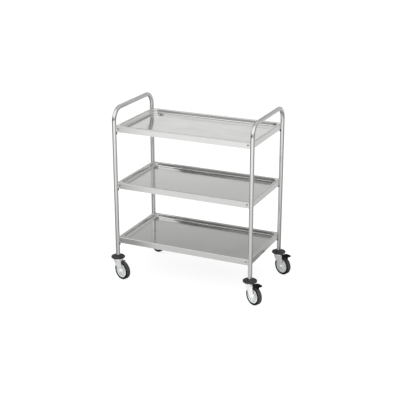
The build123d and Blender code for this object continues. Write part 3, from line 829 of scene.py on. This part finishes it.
class TROLLEY_OT_finishes(bpy.types.Operator):
    """Makes the finishes that all the pieces share."""

    bl_idname = "trolley.finishes"
    bl_label = "Make Finishes"

    def execute(self, context):
        look = context.scene.trolley_finish
        make_grain_group()
        make_handling_group()
        make_moulding_group()
        tube, tray = (look.tube_colour, look.tube_roughness), (look.tray_colour, look.tray_roughness)
        steel_finish("polished_tube", *tube, (700, 700, 14), bump=0.02, place_attribute="tube_place")
        steel_finish("tray_steel", *tray, (10, 800, 800), bump=0.02, brushed_along_x=0.6)
        steel_finish("screw_steel", (0.42, 0.42, 0.43), 0.28, (500, 500, 500))
        steel_finish("bearing_steel", (0.60, 0.61, 0.62), 0.22, (300, 300, 900))
        zinc = (look.zinc_colour, 0.36, (260, 260, 260))
        steel_finish("bright_zinc", *zinc, bump=0.05, clouds=0.06, metal=0.55)
        moulded_finish("bumper_rubber", look.bumper_colour, 0.5, shade=0.5, gloss=0.22)
        moulded_finish("tyre_rubber", look.tyre_colour, 0.6, 1800.0, bump=0.12, gloss=0.14)
        moulded_finish("tread_rubber", look.tread_colour, 0.75, 900.0, bump=0.2, shade=0.35, gloss=0.2)
        moulded_finish("wheel_plastic", look.wheel_colour, 0.42, 1600.0, bump=0.05, shade=0.05)
        moulded_finish("pedal_plastic", look.pedal_colour, 0.42, 1500.0, bump=0.1, gloss=0.12)
        # The rests' near-black is partly painted shade: it stands for the small shadows just under the trays
        # at the posts.
        moulded_finish("rest_plastic", (0.014, 0.014, 0.015), 0.55)
        moulded_finish("plug_plastic", (0.06, 0.06, 0.062), 0.6)
        return {"FINISHED"}


class TROLLEY_OT_end_frames(bpy.types.Operator):
    """Makes the two bent tubes that are posts and push handles."""

    bl_idname = "trolley.end_frames"
    bl_label = "Make End Frames"

    def execute(self, context):
        sizes = context.scene.trolley_frame
        values = {
            "Depth": sizes.depth, "Foot Height": sizes.foot_height, "Handle Height": sizes.handle_height,
            "Bend Radius": sizes.bend_radius, "Tube Radius": sizes.tube_radius,
        }
        tree = tube_tree(values)
        for node in ("end_frame_left", "end_frame_right"):
            low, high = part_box(node)
            middle = Matrix.Translation(((low[0] + high[0]) / 2, 0, 0))
            tube = grown(node + "_tube", None, tree, values, "polished_tube", middle, 50)
            settle(tube, "frame", "stainless_tube", node)
        return {"FINISHED"}


class TROLLEY_OT_trays(bpy.types.Operator):
    """Gives the three pressed trays their steel."""

    bl_idname = "trolley.trays"
    bl_label = "Dress Trays"

    def execute(self, context):
        for node in TRAYS:
            dress(node, "tray_steel")
        return {"FINISHED"}


class TROLLEY_OT_fixings(bpy.types.Operator):
    """Makes the screws on the fascias and dresses the nuts, brackets and rests."""

    bl_idname = "trolley.fixings"
    bl_label = "Make Fixings"

    def execute(self, context):
        sizes = context.scene.trolley_frame
        values = {
            "Trays": len(TRAYS), "Tray Pitch": sizes.tray_pitch, "Lowest Height": sizes.lowest_screw,
            "Side Distance": sizes.screw_side_distance, "End Distance": sizes.screw_end_distance,
        }
        head = screw_shape(sizes.screw_radius, sizes.screw_height, 0.0025, 0.0085)
        screws = grown("fascia_screws", head, screw_rows_tree(values), values, "screw_steel", Matrix())
        settle(screws, "frame", "fastener_steel", "shelf_bolts")
        dress("shelf_nuts", "screw_steel")
        dress("corner_brackets", "tray_steel")
        # The rests are near-black partly as painted shade, for the small shadows just under the trays at the
        # posts.
        dress("shelf_rests", "rest_plastic")
        return {"FINISHED"}


class TROLLEY_OT_bumpers(bpy.types.Operator):
    """Makes the wall bumpers at the feet of the posts and dresses the plugs in the tubes."""

    bl_idname = "trolley.bumpers"
    bl_label = "Make Bumpers"

    def execute(self, context):
        profile = (
            (0.00605, 0.0, 0), (0.0245, 0.0, 0.0008), (0.031, 0.0020, 0.004), (0.0366, 0.0020, 0.0012),
            (0.037, 0.0052, 0.003), (0.0366, 0.0085, 0.0016), (0.0325, 0.0088, 0.0006),
            (0.0318, 0.0082, 0.0004), (0.0300, 0.0084, 0.0004), (0.0292, 0.0091, 0.0006),
            (0.0142, 0.0098, 0.0022), (0.01385, 0.0120, 0.0008), (0.01105, 0.0120, 0.0002),
            (0.01105, 0.0060, 0), (0.00605, 0.0060, 0),
        )
        for corner in CORNERS:
            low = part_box("bumper_" + corner)[0][2]
            outline = rounded([(radius, low + height, rounding) for radius, height, rounding in profile], 5)
            disc = piece("wall_bumper_" + corner, lathe(outline, 112), castor_matrix(corner), "bumper_rubber")
            settle(disc, "frame", "bumper_rubber", "bumper_" + corner)
            dress("tube_insert_" + corner, "plug_plastic")
        return {"FINISHED"}


class TROLLEY_OT_castor_heads(bpy.types.Operator):
    """Makes the forks with their cups and axle bolts, and dresses the bearings."""

    bl_idname = "trolley.castor_heads"
    bl_label = "Make Castor Heads"

    def execute(self, context):
        sizes = context.scene.trolley_castor
        for corner in CORNERS:
            pressed = fork_shape(sizes, corner in BRAKED_CORNERS)
            fork = piece("pressed_fork_" + corner, pressed, castor_matrix(corner), "bright_zinc")
            settle(fork, "castor_" + corner, "castor_zinc", "fork_" + corner)
            bolt = piece("axle_set_" + corner, axle_shape(sizes), wheel_matrix(corner), "bright_zinc")
            settle(bolt, "castor_" + corner, "fastener_steel", "axle_bolt_" + corner)
            for node in ("swivel_balls_", "axle_sleeve_", "swivel_stem_", "top_race_"):
                dress(node + corner, "bearing_steel")
        return {"FINISHED"}


class TROLLEY_OT_wheels(bpy.types.Operator):
    """Makes the tyres, the ribbed wheel centres and the thread guards."""

    bl_idname = "trolley.wheels"
    bl_label = "Make Wheels"

    def execute(self, context):
        sizes = context.scene.trolley_castor
        values = {
            "Ribs": sizes.ribs, "Middle Radius": 0.0232, "Rib Length": 0.0238, "Rib Thickness": 0.0022,
            "Rib Width": 0.0170,
        }
        tree = spokes_tree(values)
        for corner in CORNERS:
            place, body = wheel_matrix(corner), "wheel_" + corner
            tyre = piece("tread_" + corner, lathe(tyre_outline(sizes), 144), place, "tyre_rubber")
            paint_tread(tyre.data, place, sizes.wheel_radius - 0.0014)
            settle(tyre, body, "tyre", "tyre_" + corner)
            disc = lathe(centre_outline(sizes), 112)
            centre = grown("ribbed_centre_" + corner, disc, tree, values, "wheel_plastic", place)
            settle(centre, body, "wheel_plastic", "wheel_centre_" + corner)
            guards = piece("guard_discs_" + corner, guard_shape(), place, "wheel_plastic")
            settle(guards, body, "wheel_plastic", "thread_guards_" + corner)
        return {"FINISHED"}


def paint_tread(mesh, place, radius):
    """Gives a tyre's rolling faces, beyond a radius, the lighter grey rubber of a tread."""
    mesh.materials.append(finish("tread_rubber"))
    axle = (place.to_3x3() @ UP).normalized()
    for face in mesh.polygons:
        beyond = (place.inverted() @ face.center).xy.length > radius
        face.material_index = 1 if beyond and abs(face.normal.dot(axle)) < 0.75 else 0


class TROLLEY_OT_brakes(bpy.types.Operator):
    """Makes the brake pedals with their grip bars and dresses the shoes and pins."""

    bl_idname = "trolley.brakes"
    bl_label = "Make Brakes"

    def execute(self, context):
        sizes = context.scene.trolley_castor
        values = {
            "Bars": 6, "First Along": 0.0505, "Spacing": 0.0052, "Bar Height": 0.1178, "Bar Width": 0.022,
            "Bar Thickness": 0.0018,
        }
        tree = grip_tree(values)
        for corner in BRAKED_CORNERS:
            place, finish_name = castor_matrix(corner), "pedal_plastic"
            pedal = grown("foot_pedal_" + corner, pedal_shape(sizes), tree, values, finish_name, place)
            settle(pedal, "pedal_" + corner, "pedal_plastic", "brake_pedal_" + corner)
            dress("brake_shoe_" + corner, "pedal_plastic")
            dress("brake_pin_" + corner, "screw_steel")
        return {"FINISHED"}


class TROLLEY_OT_stage(bpy.types.Operator):
    """Makes the pale floor, the soft studio light and the camera."""

    bl_idname = "trolley.stage"
    bl_label = "Make Stage"

    def execute(self, context):
        view = context.scene.trolley_stage
        context.scene.view_settings.view_transform = "Standard"
        make_floor()
        make_world(context.scene)
        make_lamp("top_softbox", (0.2, -0.4, 3.2), target=(0, 0, 0.4), size=(3.2, 2.4), power=34)
        make_lamp("front_softbox", (2.2, -3.4, 2.6), target=(0, 0, 0.5), size=(2.2, 2.2), power=60)
        make_lamp("low_fill", (1.2, -4.4, 0.8), target=(0, 0, 0.2), size=(2.0, 1.2), power=70)
        make_lamp("left_softbox", (-3.2, -1.2, 1.8), target=(0, 0, 0.5), size=(1.6, 2.4), power=14)
        data = bpy.data.cameras.new("camera")
        data.lens = view.lens
        data.sensor_width = 36.0
        data.clip_end = 60.0
        camera = linked("camera", data)
        camera.location = view.camera_place
        camera.rotation_euler = (math.pi / 2 - view.camera_dip, 0.0, view.camera_turn)
        context.scene.camera = camera
        return {"FINISHED"}


def make_lamp(name, place, target, size, power):
    """A rectangular soft light that points at a target, and that the steel doesn't mirror."""
    data = bpy.data.lights.new(name, "AREA")
    data.shape = "RECTANGLE"
    data.size, data.size_y = size
    data.energy = power
    lamp = linked(name, data)
    lamp.location = place
    lamp.rotation_euler = (Vector(target) - Vector(place)).to_track_quat("-Z", "Y").to_euler()
    lamp.visible_glossy = False


def make_floor():
    """A wide floor that the camera sees white with a soft shadow, and sees through from below.

    The steel mirrors painted light on it: lighter in front and behind, darker at the sides, a painted shadow
    nearby.
    """
    made = bpy.data.materials.new("trolley_floor_paper")
    made.use_nodes = True
    tree = made.node_tree
    tree.nodes.clear()
    position = add(tree, "ShaderNodeTexCoord")["Object"]
    way = vector_maths(tree, "NORMALIZE", position)
    in_front = vector_maths(tree, "DOT_PRODUCT", way, (0.326, -0.946, 0.0), "Value")
    behind = vector_maths(tree, "DOT_PRODUCT", way, (0.45, 0.89, 0.0), "Value")
    light = plus(
        tree, spread(tree, in_front, 0.0, 0.80, 0.53, 0.66), spread(tree, behind, 0.0, 0.52, 0.86, 0.97)
    )
    # Darker near the trolley: a painted shadow of the trolley in the glow that the steel mirrors.
    far = spread(tree, vector_maths(tree, "LENGTH", position, output="Value"), 0.50, 1.0, 0.6, 2.8)
    mirrored_light, seen_light = plus(tree, times(tree, light, far), 0.06), 0.81
    paper = add(tree, "ShaderNodeBsdfDiffuse", {"Color": (0.25, 0.25, 0.25, 1)})[0]
    seen = add(tree, "ShaderNodeLightPath")["Is Camera Ray"]
    strength = spread(tree, seen, mirrored_light, seen_light)
    glow = add(tree, "ShaderNodeEmission", {"Strength": strength})[0]
    both = add(tree, "ShaderNodeAddShader", {0: paper, 1: glow})[0]
    below = add(tree, "ShaderNodeNewGeometry")["Backfacing"]
    clear = add(tree, "ShaderNodeBsdfTransparent")[0]
    sides = add(tree, "ShaderNodeMixShader", {0: below, 1: both, 2: clear})[0]
    add(tree, "ShaderNodeOutputMaterial", {"Surface": sides})
    mesh = bpy.data.meshes.new("studio_floor")
    reach = 14.0
    corners = [(-reach, -reach, 0), (reach, -reach, 0), (reach, reach, 0), (-reach, reach, 0)]
    mesh.from_pydata(corners, [], [(0, 1, 2, 3)])
    mesh.materials.append(made)
    linked("studio_floor", mesh)


def make_world(scene):
    """A plain white surround to the camera, and a studio with brighter and darker sides to the steel.

    Z is how steeply a reflection looks up: the trays' floors mirror the back wall between 0.26 and 0.39,
    and their upright sides mirror the front wall's low, dark foot.
    """
    scene.world = bpy.data.worlds.new("studio")
    scene.world.use_nodes = True
    tree = scene.world.node_tree
    tree.nodes.clear()
    direction = add(tree, "ShaderNodeTexCoord")["Generated"]
    x, y, z = add(tree, "ShaderNodeSeparateXYZ", {0: direction})
    foot = spread(tree, z, 0.42, 1.0, 0.10, 0.23)
    ceiling = times(tree, spread(tree, x, 0.25, 0.75, -0.3, 0.0), spread(tree, z, 0.0, 1.0, 0.40, 0.52))
    back_wall = plus(
        tree, times(tree, foot, spread(tree, z, 1.31, 0.72, 0.28, 0.342)),
        spread(tree, z, 0.0, 0.28, 0.342, 0.358), spread(tree, z, 0.0, -0.62, 0.358, 0.395), ceiling,
    )
    dark_foot, right_foot = spread(tree, z, 0.16, 0.62, 0.13, 0.2), spread(tree, x, 0.0, 0.95, -0.15, 0.15)
    front_wall = plus(
        tree, worked(tree, "MAXIMUM", dark_foot, right_foot), spread(tree, z, 0.0, 1.1, 0.2, 0.38)
    )
    behind = spread(tree, y, 0.0, 1.0, -0.3, 0.1)
    walls = add(tree, "ShaderNodeMix", {0: behind, 2: front_wall, 3: back_wall})[0]
    brightness = times(tree, walls, spread(tree, x, 1.0, 0.75, 0.2, 0.8))
    room = add(tree, "ShaderNodeBackground", {"Strength": brightness})[0]
    white = add(tree, "ShaderNodeBackground", {"Color": (1, 1, 1, 1)})[0]
    seen = add(tree, "ShaderNodeLightPath")["Is Camera Ray"]
    blend = add(tree, "ShaderNodeMixShader", {0: seen, 1: room, 2: white})[0]
    add(tree, "ShaderNodeOutputWorld", {"Surface": blend})


OPERATORS = (
    TROLLEY_OT_finishes, TROLLEY_OT_end_frames, TROLLEY_OT_trays, TROLLEY_OT_fixings, TROLLEY_OT_bumpers,
    TROLLEY_OT_castor_heads, TROLLEY_OT_wheels, TROLLEY_OT_brakes, TROLLEY_OT_stage,
)
SETTINGS = {
    "trolley_finish": TrolleyFinishSettings,
    "trolley_frame": TrolleyFrameSettings,
    "trolley_castor": TrolleyCastorSettings,
    "trolley_stage": TrolleyStageSettings,
}


class TROLLEY_PT_sidebar(bpy.types.Panel):
    """Lists the trolley's operators and settings."""

    bl_idname = "TROLLEY_PT_sidebar"
    bl_label = "Serving Trolley"
    bl_space_type = "VIEW_3D"
    bl_region_type = "UI"
    bl_category = "Trolley"

    def draw(self, context):
        for operator in OPERATORS:
            self.layout.operator(operator.bl_idname)
        for attribute, group in SETTINGS.items():
            box = self.layout.box()
            for name in group.__annotations__:
                box.prop(getattr(context.scene, attribute), name)


CLASSES = (*SETTINGS.values(), *OPERATORS, TROLLEY_PT_sidebar)


def register():
    """Registers the settings, operators and panel."""
    for group in CLASSES:
        bpy.utils.register_class(group)
    for attribute, group in SETTINGS.items():
        setattr(bpy.types.Scene, attribute, bpy.props.PointerProperty(type=group))


def unregister():
    """Removes what register added."""
    for attribute in SETTINGS:
        delattr(bpy.types.Scene, attribute)
    for group in reversed(CLASSES):
        bpy.utils.unregister_class(group)


def main():
    """Builds the whole scene."""
    register()
    bpy.ops.trolley.finishes()
    bpy.ops.trolley.end_frames()
    bpy.ops.trolley.trays()
    bpy.ops.trolley.fixings()
    bpy.ops.trolley.bumpers()
    bpy.ops.trolley.castor_heads()
    bpy.ops.trolley.wheels()
    bpy.ops.trolley.brakes()
    bpy.ops.trolley.stage()


if __name__ == "__main__":
    main()
